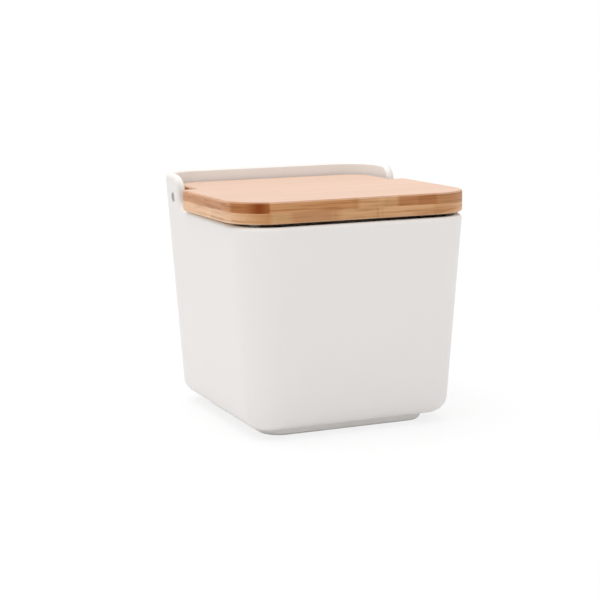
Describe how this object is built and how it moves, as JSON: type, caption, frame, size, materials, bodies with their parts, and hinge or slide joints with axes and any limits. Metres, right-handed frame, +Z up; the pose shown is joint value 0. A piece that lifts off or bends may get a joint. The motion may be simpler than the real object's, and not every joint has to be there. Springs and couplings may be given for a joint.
{
  "type": "salt box",
  "caption": "Square ceramic salt box with a raised rear rim and a two-ply bamboo lid that swings up between the rear ears on two short steel pins.",
  "frame": {"origin": "on the resting surface, under the centre of the overall width and depth", "axes": "+Z up, -Y towards the front edge of the lid, +X to the right seen from the front"},
  "size_m": [0.1284, 0.127, 0.1235],
  "materials": {
    "glaze": "satin white glaze over stoneware",
    "bamboo_upper": "sanded bamboo, lightly oiled, upper ply with caramel patches",
    "bamboo_lower": "sanded bamboo, lightly oiled, paler lower ply",
    "steel": "plain turned steel pin",
    "bush_plastic": "moulded grey plastic sleeve",
    "silicone": "translucent silicone bumper"
  },
  "bodies": {
    "pot": {"ceramic_pot": "glaze", "left_bush": "bush_plastic", "right_bush": "bush_plastic"},
    "lid": {"upper_bamboo_strip_1": "bamboo_upper", "upper_bamboo_strip_2": "bamboo_upper", "upper_bamboo_strip_3": "bamboo_upper", "upper_bamboo_strip_4": "bamboo_upper", "upper_bamboo_strip_5": "bamboo_upper", "lower_bamboo_strip_1": "bamboo_lower", "lower_bamboo_strip_2": "bamboo_lower", "lower_bamboo_strip_3": "bamboo_lower", "lower_bamboo_strip_4": "bamboo_lower", "lower_bamboo_strip_5": "bamboo_lower", "lower_bamboo_strip_6": "bamboo_lower", "left_hinge_pin": "steel", "right_hinge_pin": "steel", "left_bumper": "silicone", "right_bumper": "silicone"}
  },
  "joints": [
    {"name": "lid_hinge", "type": "hinge", "parent": "pot", "child": "lid", "pos_m": [0, 0.03639, 0.11198], "axis": [-1, 0, 0], "range_deg": [0, 120]}
  ]
}
